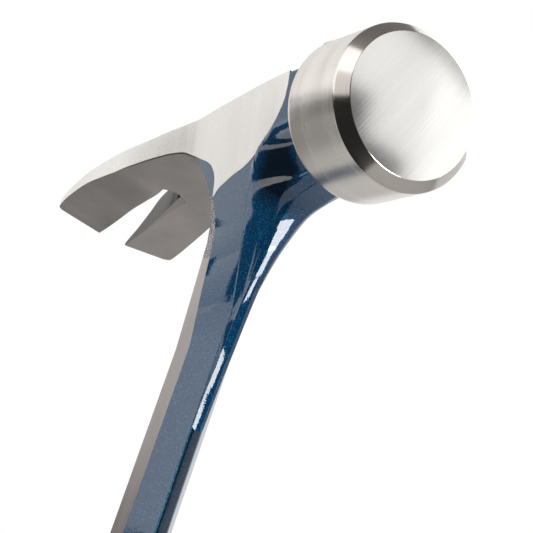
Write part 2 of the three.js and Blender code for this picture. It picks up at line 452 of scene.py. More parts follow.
# %% Neck
neck_rows = 52
neck_columns = 50
least_half = 0.00004
least_step = 0.00002
buried_backs = [0.0512, 0.0518, 0.0524]
upper_shares = (0, 0.15, 0.3, 0.45, 0.6, 0.8)
end_shift, end_taper = 0.002, 0.1


def neck_outline(back):
    lowest = min(sweep_up(back), -neck_bottom)
    highest = neck_top + neck_flare_at(back)
    half = []
    for step in range(neck_rows + 1):
        share = (1 - math.cos(math.pi * (step + 0.5) / (neck_rows + 1))) / 2
        up = mix(lowest, highest, share)
        half.append(at(back, -max(neck_half(back, up, lowest), least_half), up))
    return both_sides(half)


def neck_stations():
    """Stations even along the front line, with a few more behind it, inside the shank."""
    backs = [
        sweep_back(mix(sweep_ups[0], sweep_ups[-1], step / neck_columns))
        for step in range(neck_columns + 1)
    ]
    backs += buried_backs + [mix(neck_start, sweep_backs[-1], share) for share in upper_shares]
    backs = sorted(backs)
    return backs[:1] + [
        back for before, back in zip(backs, backs[1:]) if back - before > least_step]


neck_outlines = [neck_outline(back) for back in neck_stations()]
last_outline = neck_outline(buried_backs[-1])
neck_outlines.append([
    point + Vector((-end_shift, -point.y * end_taper, 0)) for point in last_outline])
neck = skin_through("neck", neck_outlines, PAINT)
print("neck", len(neck.data.polygons), "faces")

# %% [markdown]
# The shank is an eight-sided bar: ground flats on its two sides, narrow flats at the front
# and back, and four sloping facets between them. Towards the head the facets twist until they
# lie in the plane of the cheeks, and the back hollows out into the throat under the claws.

# %% Section of the shank
grip_top = 0.1663
facet_start = -0.056
flat_ups = [
    -0.170, -0.056, -0.048, -0.040, -0.032, -0.030, -0.0265, -0.0185, -0.0145, -0.0125, 0.010,
]
flat_widths = [
    0.0072, 0.0072, 0.0062, 0.0050, 0.0042, 0.0040, 0.0031, 0.0020, 0.0010, 0.0002, 0.0001,
]
corner_fade = 0.042
corner_inset = 0.0010
front_round = 0.00045
worn_end = -0.031
body_top = 0.004
level_step = 0.0008
bare_throat = -0.0215
throat_slope = 0.35
thin_glint_slopes = (0.25, 0.86)
strip_margin = 0.0001
least_strip = 0.0003
side_tolerance = 0.0002
throat_ups = [
    -0.030, -0.021, -0.0185, -0.0157, -0.0126, -0.0102, -0.0077, -0.005, -0.0029, -0.0017,
    -0.0001, 0.0012, 0.006,
]
throat_backs = [
    0.0718, 0.0718, 0.0721, 0.0728, 0.0745, 0.0763, 0.0786, 0.0811, 0.0834, 0.0852, 0.0878,
    0.0915, 0.0930,
]


def throat_back(up):
    """The back of the shank, hollowed out into the throat under the claws."""
    return curve_through(throat_ups, throat_backs, up)


def flat_corner(up):
    """The back corner of the side flat, which runs to the back of the shank near the throat."""
    share = clamp((up - facet_start) / corner_fade)
    return mix(shank_middle + side_flat / 2, throat_back(up) - corner_inset, share)


def flat_width(up):
    return curve_through(flat_ups, flat_widths, up)


def shank_side(up):
    return max(shank_thickness / 2, cheek_plane(up) - cheek_proud)


def shank_level(up):
    """One outline of the bar: back, side flat, sloping facet, and a rounded front corner."""
    side, edge = shank_side(up), edge_half(up)
    back, corner = throat_back(up), flat_corner(up)
    front, near_edge = corner - flat_width(up), edge_back(up)
    inset = corner_inset * clamp((up - facet_start) / corner_fade)
    half = [
        at(back, -max(edge - inset, edge_flat / 2), up),
        at(corner, -side, up),
        at(front, -side, up),
    ]
    for share in QUARTERS:
        half.append(at(mix(front, near_edge, share), -mix(side, edge, share), up))
    corner_point = at(near_edge, -edge, up)
    onto_facet = corner_point + (half[-1] - corner_point).normalized() * front_round
    onto_flat = corner_point + Vector((0, front_round, 0))
    for share in (0, *QUARTERS, 1):
        first, second = onto_facet.lerp(corner_point, share), corner_point.lerp(onto_flat, share)
        half.append(first.lerp(second, share))
    return both_sides(half)


print("shank half width at the grip", shank_side(grip_top - axis_height))

# %% [markdown]
# Levels are far apart on the straight part and close where the facets twist. The finish of a face
# follows from its place: bare steel in the throat, thin paler paint along the near front corner
# that is also a painted glint, a ground flat on the side, worn where it narrows, and paint
# everywhere else.

# %% Shank
def shank_look(face):
    middle, normal = face.center, face.normal
    back, up = face_x - middle.x, middle.z - axis_height
    in_throat = up > bare_throat and back > shank_back - corner_inset
    if in_throat and abs(normal.y) < throat_slope:
        return GROUND
    # Only the near side's front corner gets the paler thin paint, which is thin paint and a
    # painted glint at once.
    front_corner = abs(back - shank_front) < front_round * 0.6
    if front_corner and thin_glint_slopes[0] < abs(normal.y) < thin_glint_slopes[1] and middle.y < 0:
        return THIN_GLINT
    corner, width = flat_corner(up), flat_width(up)
    on_strip = corner - width * 0.98 - strip_margin < back < corner + strip_margin
    on_side = abs(abs(middle.y) - shank_side(up)) < side_tolerance
    if width > least_strip and on_strip and on_side:
        return FLAT if up < worn_end else WORN
    return PAINT


levels = [grip_top - axis_height, facet_start - 0.008, facet_start - 0.004]
while levels[-1] < body_top:
    levels.append(levels[-1] + level_step)
shank = skin_through("shank", [shank_level(up) for up in levels])
give_looks(shank, shank_look)

# %% [markdown]
# Cheeks and claws are one tapering wedge, flat ground on its sides. Its edges are long soft
# curves that no simple solid gives, so they are drawn as stations, in millimetres: how far
# back from the face, and how far up or out the edge lies there.

# %% Edges of the cheeks and claws
millimetre = 0.001

# The ground side's top edge, and its bottom edge, which is also where the paint starts.
top_edge = [
    (39.5, 12.65), (50, 12.6), (58, 12.3), (66, 11.9), (75, 11.5), (80, 11.1), (84, 10.7),
    (88, 10.3), (92.3, 9.95), (96, 9.5), (100, 9), (104, 8.4), (107.5, 7.8), (111.3, 7.15),
    (115, 6.6), (119, 6), (123, 5.3), (127, 4.4), (131, 3.4), (135, 2.25), (138.4, 1.3),
    (141.7, 0.3), (145, -0.9), (148, -2.2), (151.5, -3.6), (155.4, -5.3), (157.3, -6.4),
    (159, -7.6),
]
bottom_edge = [
    (39.5, 9.2), (40, 6), (41.6, 3.1), (44.4, -0.3), (47.5, -2.9), (49.9, -5), (52.4, -6.8),
    (57, -8.6), (60.9, -9.4), (64.9, -10.6), (68.8, -12), (71.3, -13.8), (71.6, -10.5),
    (72.0, -8.6), (73.2, -6.6), (75.8, -4.2), (81, -2), (87.7, 0), (92, 1.2), (95, 1.5),
    (98.4, 1.55), (103.2, 1.3), (108, 0.9), (112.8, 0.4), (117.7, -0.1), (122.7, -0.7),
    (127.7, -1.4), (132.9, -2.15), (138.5, -3), (144.2, -4.3), (149.7, -5.9), (153.8, -7.2),
    (157.4, -8.6), (159, -8.9),
]
# The inner edges, along the slot: the underside drops towards the slot, and the top is crowned.
inner_top_edge = [
    (39.5, 12.8), (66, 12.3), (84, 11.3), (96, 10.2), (107.5, 8.7), (119, 6.9), (123, 6.2),
    (128, 5.4), (133, 4.6), (138, 3.4), (141, 2.1), (144, -0.2), (148, -2.8), (152, -5.6),
    (156.5, -8.1), (159, -9.6),
]
inner_bottom_edge = [
    (95, 1.5), (98.4, 1.5), (108, 0.8), (118.5, -0.5), (121.5, -1.1), (123.8, -1.9),
    (131.2, -3.5), (138.4, -5.2), (145, -7.1), (151.7, -8.8), (159, -10.4),
]
spread = [
    (39.5, 13), (72, 13), (80, 13), (85, 13.15), (90, 13.7), (95, 14.55), (100, 15.55),
    (111, 17.75), (122, 20), (133.6, 22.3), (137.8, 23.1), (145.3, 24.2), (152.3, 25),
    (156, 25.2), (157.6, 25), (158.5, 24.5), (159, 23.6),
]
slot_halves = [
    (119, 2.9), (123.8, 2.95), (131.2, 3.6), (138.4, 4.2), (145, 4.5), (151.7, 4.6), (159, 4.8),
]
bevel_widths = [
    (118.4, 0.02), (119.6, 0.5), (121.4, 2.3), (123.2, 2.1), (127, 1.5), (132, 0.9), (137, 0.6),
    (142.3, 0.3), (148, 0.12), (159, 0.08),
]
dark_strips = [
    (39.5, 0.02), (82, 0.02), (86, 0.3), (92, 0.5), (108, 0.5), (118, 0.35), (126, 0.02),
    (159, 0.02),
]


def read_off(stations, back):
    """A line's value at a distance from the face, both in metres."""
    places = [place * millimetre for place, value in stations]
    return curve_through(places, [value * millimetre for place, value in stations], back)


print("edge stations", len(top_edge), len(bottom_edge))

# %% [markdown]
# Both halves are alike, so only the near half is skinned, from the cheek's front edge to the
# claw tip. A section runs from the slot over the crowned top, down the ground side and back
# along the underside. Its inner side lies on the middle until the nail slot opens, and then
# follows the slot, which is wider underneath, where a bevel guides the nail in.

# %% Section of the cheeks and claws
cheek_start = 0.0395
slot_throat = 0.0029
slot_length = 0.0405
slot_lean = 0.0045
slot_start = head_length - slot_length
slot_top_share = 0.75
crown_bend = 1.5
claw_taper = 0.06
taper_start, taper_run = 0.085, 0.065
underside_start, bevel_start = 0.095, 0.113
least_bevel = 0.00002
bevel_most, bevel_lift = 0.4, 0.55
top_steps, side_steps, under_steps = 6, 3, 5


def slot_inner(back):
    """Half the width of the nail slot, nothing before its rounded end."""
    centre = slot_start + slot_throat
    if back < centre:
        return math.sqrt(clamp(slot_throat ** 2 - (centre - back) ** 2, 0.0, 1.0))
    return read_off(slot_halves, back)


def claw_outline(back):
    top, under = read_off(top_edge, back), read_off(bottom_edge, back)
    top_inner = read_off(inner_top_edge, back)
    under_inner = read_off(inner_bottom_edge, back) if back > underside_start else under
    lean = mix(cheek_taper, claw_taper, clamp((back - taper_start) / taper_run))
    half_under = read_off(spread, back) - cheek_taper * (cheek_top - under)
    half = half_under + lean * (top - under)
    inner = slot_inner(back)
    opened = clamp((back - slot_start) / slot_length)
    inner_at_top = slot_inner(back - slot_lean) * mix(slot_top_share, 1.0, opened)
    bevel = least_bevel
    if back > bevel_start:
        bevel = min(read_off(bevel_widths, back), (half_under - inner) * bevel_most)
    points = []
    for step in range(top_steps + 1):
        share = step / top_steps
        across, up = mix(inner_at_top, half, share), mix(top_inner, top, share ** crown_bend)
        points.append(at(back, -across, up))
    strip = read_off(dark_strips, back) / (top - under)
    for step in range(1, side_steps + 1):
        share = step / side_steps * (1 - strip)
        points.append(at(back, -mix(half, half_under, share), mix(top, under, share)))
    foot_share = (half_under - (inner + bevel)) / (half_under - inner)
    for step in range(under_steps + 1):
        share = step / under_steps * foot_share
        points.append(at(back, -mix(half_under, inner, share), mix(under, under_inner, share)))
    lift = min(bevel * bevel_lift, (top_inner - under_inner) * 0.5)
    points.append(at(back, -inner, under_inner + lift))
    return points


print("claw section points", len(claw_outline(slot_start)))

# %% [markdown]
# Stations stand wherever an edge has one, evenly between, and closer round the end of the
# slot. The faces left on the middle are deleted, a mirror makes the other half, and a small
# bevel takes the sharpness off the edges, as a belt does.

# %% Cheeks and claws
claw_edge_round = 0.0004
claw_edge_angle = 38
on_middle = 1e-6
even_steps, slot_end_steps = 100, 10
throat_corner = (0.0713, 0.0719)
before_slot = 0.00005
least_gap = 0.00004
weld = 0.000005
strip_start, strip_end, strip_grow = 0.083, 0.125, 1.05
side_face, side_slope = 0.0085, 0.25
front_margin, front_slope_x = 0.0006, 0.5
under_slope, top_slope, wall_slope = -0.5, 0.6, 0.3
wall_margin, wall_across = 0.0004, 0.0052
end_reach, end_across = 0.004, 0.0033


def claw_stations():
    places = [place * millimetre for place, value in bottom_edge]
    places += [
        mix(cheek_start, head_length, step / even_steps) for step in range(even_steps + 1)]
    places += [mix(*throat_corner, share) for share in (0.2, 0.4, 0.6, 0.8)]
    places += [
        slot_start + slot_throat * (1 - math.cos(math.pi * step / (2 * slot_end_steps)))
        for step in range(slot_end_steps + 1)
    ]
    places.append(slot_start - before_slot)
    places = sorted(places)
    kept = [places[0]]
    for place in places[1:]:
        if place - kept[-1] > least_gap:
            kept.append(place)
    kept[-1] = head_length
    return kept


def in_slot(back, across, normal):
    """The slot's walls and its rounded end, but not the top or the underside."""
    walls = back > slot_start - wall_margin and across < wall_across
    walls = walls and abs(normal.y) > wall_slope
    end = abs(back - slot_start) < end_reach and across < end_across
    return under_slope < normal.z < top_slope and (walls or end)


def claw_look(face):
    middle, normal = face.center, face.normal
    back, across = face_x - middle.x, abs(middle.y)
    if back < cheek_start + front_margin and normal.x > front_slope_x:
        return PAINT
    strip_top = read_off(bottom_edge, back) + read_off(dark_strips, back) * strip_grow
    on_strip = strip_start < back < strip_end and middle.z - axis_height < strip_top
    on_outer_side = across > side_face and abs(normal.y) > side_slope
    if in_slot(back, across, normal) or (on_strip and on_outer_side):
        return SLOT
    return GROUND if normal.z < under_slope else POLISHED


claws = skin_through("claws", [claw_outline(back) for back in claw_stations()])
pick(claws)
bpy.ops.object.mode_set(mode="EDIT")
mesh = bmesh.from_edit_mesh(claws.data)
for face in mesh.faces:
    face.select = all(abs(vert.co.y) < on_middle for vert in face.verts)
bmesh.update_edit_mesh(claws.data)
bpy.ops.mesh.delete(type="FACE")
bpy.ops.object.mode_set(mode="OBJECT")
apply_modifier(claws, "MIRROR", use_axis=(False, True, False), merge_threshold=weld)
pick(claws)
bpy.ops.object.mode_set(mode="EDIT")
bpy.ops.mesh.select_all(action="SELECT")
bpy.ops.mesh.normals_make_consistent(inside=False)
bpy.ops.object.mode_set(mode="OBJECT")
apply_modifier(
    claws, "BEVEL", width=claw_edge_round, segments=3, limit_method="ANGLE",
    angle_limit=math.radians(claw_edge_angle), harden_normals=False, use_clamp_overlap=True,
)
give_looks(claws, claw_look)

# %% [markdown]
# The tang is the part of the forging inside the grip. Only its foot shows, spread over in the
# middle of the butt cap, but the whole tang is made, because the washers sit on it.

# %% Tang
tang_half_depth = 0.0065
tang_half_width = 0.0032
tang_foot = 0.0015
tang_foot_height = 0.0025
tang_foot_chamfer = 0.0003
tang_overlap = 0.004


def tang_outline(height, grow=0.0):
    depth, width = tang_half_depth + grow, tang_half_width + grow
    return [Vector((-depth, -width, height)), Vector((depth, -width, height)),
            Vector((depth, width, height)), Vector((-depth, width, height))]


tang = skin_through("tang", [
    tang_outline(0.0, tang_foot - tang_foot_chamfer),
    tang_outline(tang_foot_chamfer, tang_foot),
    tang_outline(tang_foot_height),
    tang_outline(grip_top + tang_overlap),
])
give_looks(tang, lambda face: GROUND)

# %% [markdown]
# The five solids overlap, and a forging is one lump, so they are joined with exact booleans.
# All of them carry the same list of finishes, so each face keeps its own. Where two finishes
# meet, the edge is marked sharp, so that the shading of one does not run into the other.

# %% Join the forging
join_weld = 0.000004
forging_smooth_angle = 24
forging = claws
forging.name = "forging"
forging.data.name = "forging"
for solid in (claws, shank, neck, bell, tang):
    give_slots(solid)
for solid in (shank, neck, bell, tang):
    apply_modifier(forging, "BOOLEAN", operation="UNION", solver="EXACT", object=solid)
    bpy.data.objects.remove(solid)
pick(forging)
bpy.ops.object.mode_set(mode="EDIT")
bpy.ops.mesh.select_all(action="SELECT")
bpy.ops.mesh.remove_doubles(threshold=join_weld)
bpy.ops.object.mode_set(mode="OBJECT")
bpy.ops.object.shade_smooth_by_angle(angle=math.radians(forging_smooth_angle))
bpy.ops.object.mode_set(mode="EDIT")
mesh = bmesh.from_edit_mesh(forging.data)
for edge in mesh.edges:
    if len({face.material_index for face in edge.link_faces}) > 1:
        edge.smooth = False
bmesh.update_edit_mesh(forging.data)
bpy.ops.object.mode_set(mode="OBJECT")
apply_modifier(forging, "WEIGHTED_NORMAL", keep_sharp=True, mode="FACE_AREA")
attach(forging, "root")
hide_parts("forged_head_and_shank")
print("forging", len(forging.data.polygons), "faces")
print("forging size", [round(side, 4) for side in forging.dimensions])

# %% [markdown]
# A material is a small network. These helpers add a node and wire it, so that each finish
# below reads as a short list of what the surface is made of. Patterns read Object
# coordinates, because every piece keeps its place in its mesh.

# %% Material helpers
class Finish:
    """One material under construction."""

    def __init__(self, made):
        made.use_nodes = True
        self.tree = made.node_tree
        self.shader = self.tree.nodes["Principled BSDF"]
        self.place = self.add("ShaderNodeTexCoord").outputs["Object"]

    def add(self, kind, inputs=None, **settings):
        node = self.tree.nodes.new(kind)
        for name, value in settings.items():
            setattr(node, name, value)
        for name, value in (inputs or {}).items():
            self.set(node, name, value)
        return node

    def set(self, node, name, value):
        socket = node.inputs[name]
        if isinstance(value, bpy.types.NodeSocket):
            self.tree.links.new(value, socket)
        else:
            socket.default_value = value

    def stretched(self, scale, turn=(0.0, 0.0, 0.0)):
        turned = self.add("ShaderNodeMapping", {"Vector": self.place, "Rotation": turn})
        turned = turned.outputs["Vector"]
        mapping = self.add("ShaderNodeMapping", {"Vector": turned, "Scale": scale})
        return mapping.outputs["Vector"]

    def noise(self, vector, scale, detail):
        node = self.add("ShaderNodeTexNoise", {
            "Vector": vector, "Scale": scale, "Detail": detail})
        return node.outputs["Fac"]

    def ramp(self, value, stops):
        """A colour ramp through (place, colour) stops; a plain number stands for a grey."""
        node = self.add("ShaderNodeValToRGB", {"Fac": value})
        elements = node.color_ramp.elements
        while len(elements) < len(stops):
            elements.new(0.5)
        for element, (place, colour) in zip(elements, stops):
            is_grey = isinstance(colour, (int, float))
            element.position = place
            element.color = (colour, colour, colour, 1) if is_grey else (*colour, 1)
        return node.outputs["Color"]

    def range(self, value, low, high, from_low=0.0, from_high=1.0):
        node = self.add("ShaderNodeMapRange", {
            "Value": value, "From Min": from_low, "From Max": from_high,
            "To Min": low, "To Max": high})
        return node.outputs["Result"]

    def blend(self, share, first, second):
        node = self.add("ShaderNodeMix", data_type="RGBA")
        self.set(node, "Factor", share)
        sockets = [socket for socket in node.inputs if socket.type == "RGBA"]
        for socket, value in zip(sockets, (first, second)):
            if isinstance(value, bpy.types.NodeSocket):
                self.tree.links.new(value, socket)
            else:
                socket.default_value = (*value, 1)
        return next(socket for socket in node.outputs if socket.type == "RGBA")

    def math(self, operation, first, second):
        node = self.add("ShaderNodeMath", operation=operation)
        self.set(node, 0, first)
        self.set(node, 1, second)
        return node.outputs["Value"]

    def bump(self, height, strength, distance):
        node = self.add("ShaderNodeBump", {
            "Height": height, "Strength": strength, "Distance": distance})
        return node.outputs["Normal"]

    def finish(self, **sockets):
        for name, value in sockets.items():
            self.set(self.shader, name.replace("_", " "), value)

    def lined_steel(self, lines, cloud, tones, line_tone, line_share, gloss, relief):
        """Bare steel: fine tool lines over a slow change of tone and gloss."""
        self.finish(
            Base_Color=self.blend(
                self.range(lines, 0.0, line_share), self.ramp(cloud, tones), line_tone),
            Metallic=1.0,
            Roughness=self.range(cloud, *gloss),
            Normal=self.bump(lines, *relief),
        )


print("material helpers ready")

# %% [markdown]
# The cheeks and the tops of the claws are belt ground and polished. Fine scratches run up and
# down, long soft streaks lie over them, and a few handling marks break the shine.

# %% Polished cheeks
polish = Finish(forging_materials[POLISHED])
belt_slant = (0.0, 0.12, 0.0)
scratches = polish.noise(polish.stretched((2600, 2600, 60), belt_slant), 1.0, 2.0)
streaks = polish.noise(polish.stretched((160, 160, 14), belt_slant), 1.0, 4.0)
smudges = polish.noise(polish.place, 55.0, 3.0)
pale = polish.ramp(streaks, [(0.3, (0.76, 0.735, 0.69)), (0.7, (0.86, 0.835, 0.795))])
gloss = polish.range(streaks, 0.2, 0.34)
polish.finish(
    Base_Color=polish.blend(polish.range(scratches, 0.0, 0.25), pale, (0.74, 0.71, 0.67)),
    Metallic=1.0,
    Roughness=polish.math("ADD", gloss, polish.range(smudges, -0.04, 0.05)),
    Normal=polish.bump(scratches, 0.05, 0.00004),
)
print("polished cheeks done")

# %% [markdown]
# The flats on the shank's sides come from the same belt but stay duller and a little warm. The
# lines run along the shank, so the noise is squeezed across it and stretched along it.

# %% Shank flats
flat = Finish(forging_materials[FLAT])
flat.lined_steel(
    lines=flat.noise(flat.stretched((2400, 2400, 50)), 1.0, 2.0),
    cloud=flat.noise(flat.stretched((120, 120, 22)), 1.0, 3.0),
    tones=[(0.3, (0.40, 0.355, 0.345)), (0.7, (0.50, 0.455, 0.44))],
    line_tone=(0.28, 0.25, 0.24), line_share=0.3, gloss=(0.28, 0.4), relief=(0.15, 0.00005),
)
print("shank flats done")

# %% [markdown]
# Near its closed end the nail slot is darker, a painted shade for the end that lies in shade, and
# the thin dark line along the lower edge of the claws takes the same dark colour, as forging
# scale. A little way into the slot the steel turns lighter, so two colour ramps are blended by the
# place along the head.

# %% Nail slot
slot_shade_start, slot_shade_end = face_x - 0.1272, face_x - 0.1284
slot = Finish(forging_materials[SLOT])
along = slot.add("ShaderNodeSeparateXYZ", {"Vector": slot.place}).outputs["X"]
opened = slot.range(along, 0.0, 1.0, slot_shade_start, slot_shade_end)
patches = slot.noise(slot.place, 260.0, 4.0)
# Dark near the slot's closed end: painted shade there, and forging scale on the claws' lower edge
# line.
dark_scale_and_shade = slot.ramp(patches, [(0.3, (0.035, 0.035, 0.037)), (0.7, (0.07, 0.068, 0.066))])
light_scale = slot.ramp(patches, [(0.3, (0.11, 0.105, 0.094)), (0.7, (0.155, 0.145, 0.132))])
slot.finish(
    Base_Color=slot.blend(opened, dark_scale_and_shade, light_scale),
    Metallic=1.0,
    Roughness=slot.range(patches, 0.36, 0.5),
    Normal=slot.bump(patches, 0.2, 0.0001),
)
print("nail slot done")

# %% [markdown]
# Where the belt cut through the paint at the shank's back corners, specks of bare steel and of
# paint lie side by side. A fine noise through a steep ramp gives such specks, and the same
# ramp turns the metal on and off.

# %% Worn corner
worn = Finish(forging_materials[WORN])
specks = worn.noise(worn.place, 2400.0, 2.0)
left_paint = worn.ramp(specks, [(0.44, 1.0), (0.54, 0.0)])
worn.finish(
    Base_Color=worn.blend(left_paint, (0.55, 0.50, 0.48), (0.012, 0.02, 0.05)),
    Metallic=worn.range(left_paint, 0.9, 0.1),
    Roughness=0.42,
    Normal=worn.bump(specks, 0.4, 0.0001),
)
print("worn corner done")

# %% [markdown]
# Under the claws the steel is ground but not polished: grey, duller, with scratches that run
# along the claw. It is the shank flat's network turned, so one helper serves both.

# %% Ground claws
ground = Finish(forging_materials[GROUND])
ground.lined_steel(
    lines=ground.noise(ground.stretched((90, 2200, 2200)), 1.0, 2.0),
    cloud=ground.noise(ground.place, 70.0, 4.0),
    tones=[(0.3, (0.32, 0.295, 0.285)), (0.7, (0.42, 0.385, 0.37))],
    line_tone=(0.24, 0.22, 0.21), line_share=0.35, gloss=(0.34, 0.48), relief=(0.2, 0.00005),
)
print("ground claws done")

# %% [markdown]
# The side of the bell is turned and satin brushed, so its lines run round it. Noise that
# changes fast along the bell's axis and slowly round it makes such rings.

# %% Satin bell
satin = Finish(forging_materials[SATIN])
satin.lined_steel(
    lines=satin.noise(satin.stretched((3200, 30, 30)), 1.0, 2.0),
    cloud=satin.noise(satin.stretched((260, 12, 12)), 1.0, 3.0),
    tones=[(0.35, (0.70, 0.66, 0.61)), (0.65, (0.82, 0.78, 0.73))],
    line_tone=(0.56, 0.52, 0.49), line_share=0.3, gloss=(0.22, 0.32), relief=(0.06, 0.00004),
)
print("satin bell done")

# %% [markdown]
# The chamfer round the face is given a darker colour than the bell's side, and more gloss. Its
# colour comes from a slow noise alone, and only its gloss shows the turning.

# %% Dark chamfer
chamfer = Finish(forging_materials[CHAMFER])
turning = chamfer.noise(chamfer.stretched((2400, 60, 60)), 1.0, 2.0)
tone = chamfer.noise(chamfer.place, 60.0, 3.0)
chamfer.finish(
    Base_Color=chamfer.ramp(tone, [(0.3, (0.40, 0.365, 0.33)), (0.7, (0.52, 0.485, 0.45))]),
    Metallic=1.0,
    Roughness=chamfer.range(turning, 0.12, 0.2),
    Normal=chamfer.bump(turning, 0.15, 0.00004),
)
print("dark chamfer done")

# %% [markdown]
# The striking face is brushed in one direction, slanting across it. The pattern is turned
# before it is stretched, so that the strokes stay straight.

# %% Brushed face
brushed = Finish(forging_materials[FACE])
slant = math.radians(-68)
brushed.lined_steel(
    lines=brushed.noise(brushed.stretched((60, 60, 2600), (slant, 0.0, 0.0)), 1.0, 2.5),
    cloud=brushed.noise(brushed.stretched((20, 14, 130), (slant, 0.0, 0.0)), 1.0, 2.0),
    tones=[(0.35, (0.78, 0.765, 0.74)), (0.65, (0.88, 0.865, 0.845))],
    line_tone=(0.66, 0.64, 0.61), line_share=0.35, gloss=(0.15, 0.21), relief=(0.18, 0.00005),
)
print("brushed face done")

# %% [markdown]
# The paint is a dark metallic blue with fine flakes under a clear gloss coat. The flakes are tiny
# cells, each with its own brightness and its own small tilt. Below the bell the colour is painted
# shade: a dark patch with a ragged edge and few flakes, where the bell shades the neck. Along the
# near front corner of the shank the paint is thin and paler, which also serves as a painted glint
# on that near side, so the same network is made twice.

# %% Blue paint
# Painted shade: the colour turns dark round this point under the bell, where the bell shades the
# neck.
painted_bell_shade_centre = (0.0215, -0.0075, 0.3755)
bell_shade_start, bell_shade_end = 0.0085, 0.0145
bell_shade_ragged = 0.006
painted_bell_shade_colour = (0.0008, 0.007, 0.018)


def metallic_paint(made, dark, light, glint):
    paint = Finish(made)
    flakes = paint.add("ShaderNodeTexVoronoi", {"Vector": paint.place, "Scale": 5200.0})
    glitter = paint.add("ShaderNodeSeparateColor", {"Color": flakes.outputs["Color"]})
    spark = paint.ramp(glitter.outputs["Red"], [(0.86, 0.0), (0.99, 1.0)])
    grain = paint.noise(paint.place, 2600.0, 2.0)
    orange_peel = paint.noise(paint.place, 1500.0, 2.0)
    # Painted shade under the bell: near that point the colour turns dark and the flakes fade out.
    away = paint.add("ShaderNodeVectorMath", {0: paint.place, 1: painted_bell_shade_centre}, operation="DISTANCE")
    ragged = paint.math("MULTIPLY_ADD", paint.noise(paint.place, 220.0, 3.0), bell_shade_ragged)
    paint.set(ragged.node, 2, away.outputs["Value"])
    outside_bell_shade = paint.range(ragged, 0.0, 1.0, bell_shade_start, bell_shade_end)
    body = paint.blend(outside_bell_shade, painted_bell_shade_colour, paint.ramp(grain, [(0.35, dark), (0.65, light)]))
    paint.finish(
        Base_Color=paint.blend(paint.math("MULTIPLY", spark, outside_bell_shade), body, glint),
        Metallic=0.15,
        Specular_IOR_Level=0.0,
        Roughness=paint.range(glitter.outputs["Green"], 0.35, 0.55),
        Coat_Weight=1.0,
        Coat_Roughness=0.03,
        Coat_IOR=1.6,
        Normal=paint.bump(glitter.outputs["Blue"], 0.3, 0.00003),
    )
    paint.set(paint.shader, "Coat Normal", paint.bump(orange_peel, 0.1, 0.00005))


metallic_paint(
    forging_materials[PAINT],
    dark=(0.001, 0.028, 0.085), light=(0.002, 0.055, 0.135), glint=(0.03, 0.17, 0.30))
# Thin paler paint for the near front corner, which also stands as a painted glint.
metallic_paint(
    forging_materials[THIN_GLINT],
    dark=(0.02, 0.12, 0.19), light=(0.06, 0.22, 0.32), glint=(0.3, 0.6, 0.7))
print("forging finishes done")

# %% [markdown]
# The grip is a stack. Each leather washer is the same oval, sanded to the profile of the whole
# handle, with corners worn slightly round so that a fine groove shows between neighbours. One
# washer is modelled, and each copy gets its own mesh, taper and height from its CAD node.

# %% Grip stack
oval_sides = 96
washer_corner = 0.00035
inner_corner = 0.3
tang_play = 0.0002
bore_overrun = 0.002
ring_smooth_angle = 30

def grip_outline(node_low, node_high, height, shrink):
    half_depth = (node_high.x - node_low.x) / 2 - shrink
    half_width = (node_high.y - node_low.y) / 2 - shrink
    turns = [2 * math.pi * step / oval_sides for step in range(oval_sides)]
    return [Vector((half_depth * math.cos(a), half_width * math.sin(a), height)) for a in turns]


def bored_ring(name, corners, low, high):
    """A ring of the oval, with rounded corners and a hole for the tang."""
    outlines = [grip_outline(low, high, height, shrink) for height, shrink in corners]
    piece = skin_through(name, outlines)
    cutter = skin_through("cutter", [
        tang_outline(low.z - bore_overrun, tang_play),
        tang_outline(high.z + bore_overrun, tang_play),
    ])
    apply_modifier(piece, "BOOLEAN", operation="DIFFERENCE", solver="EXACT", object=cutter)
    bpy.data.objects.remove(cutter)
    pick(piece)
    bpy.ops.object.shade_smooth_by_angle(angle=math.radians(ring_smooth_angle))
    return piece


def washer_corners(low, high, corner):
    inner = corner * inner_corner
    return [
        (low.z, corner), (low.z + inner, inner), (low.z + corner, 0.0),
        (high.z - corner, 0.0), (high.z - inner, inner), (high.z, corner),
    ]


def finish_ring(piece, node, made):
    piece.data.materials.append(made)
    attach(piece, "root")
    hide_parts(node)


leather_names = ("leather_tan", "leather_chestnut", "leather_umber")
leather_materials = [bpy.data.materials.new(name) for name in leather_names]
fibre_material = bpy.data.materials.new("blue_fibre")
steel_material = bpy.data.materials.new("cap_steel")

for node in sorted(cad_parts):
    low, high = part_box(node)
    if node.startswith("leather_washer"):
        corners = washer_corners(low, high, washer_corner)
        ring = bored_ring(node + "_leather", corners, low, high)
        number = int(node[-2:])
        finish_ring(ring, node, leather_materials[(number * 7 + number // 3) % 3])
    elif node.startswith("fibre_spacer"):
        corners = washer_corners(low, high, washer_corner / 2)
        ring = bored_ring(node + "_fibre", corners, low, high)
        finish_ring(ring, node, fibre_material)
print("rings made")

# %% [markdown]
# A butt cap and a collar of turned steel hold the stack between them. They are bored rings as
# well, with a larger round: on the cap round the butt, on the collar towards the shank.

# %% Cap and collar
cap_round = 0.0024
collar_round = 0.002
small_corner = 0.0003
round_angles = [math.radians(15 * step) for step in range(7)]

low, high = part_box("butt_cap")
corners = [
    (low.z + cap_round * (1 - math.cos(angle)), cap_round * (1 - math.sin(angle)))
    for angle in round_angles
]
corners += [(high.z - 0.0004, 0.0), (high.z - 0.0001, 0.0001), (high.z, 0.0004)]
cap = bored_ring("butt_cap_steel", corners, low, high)
finish_ring(cap, "butt_cap", steel_material)

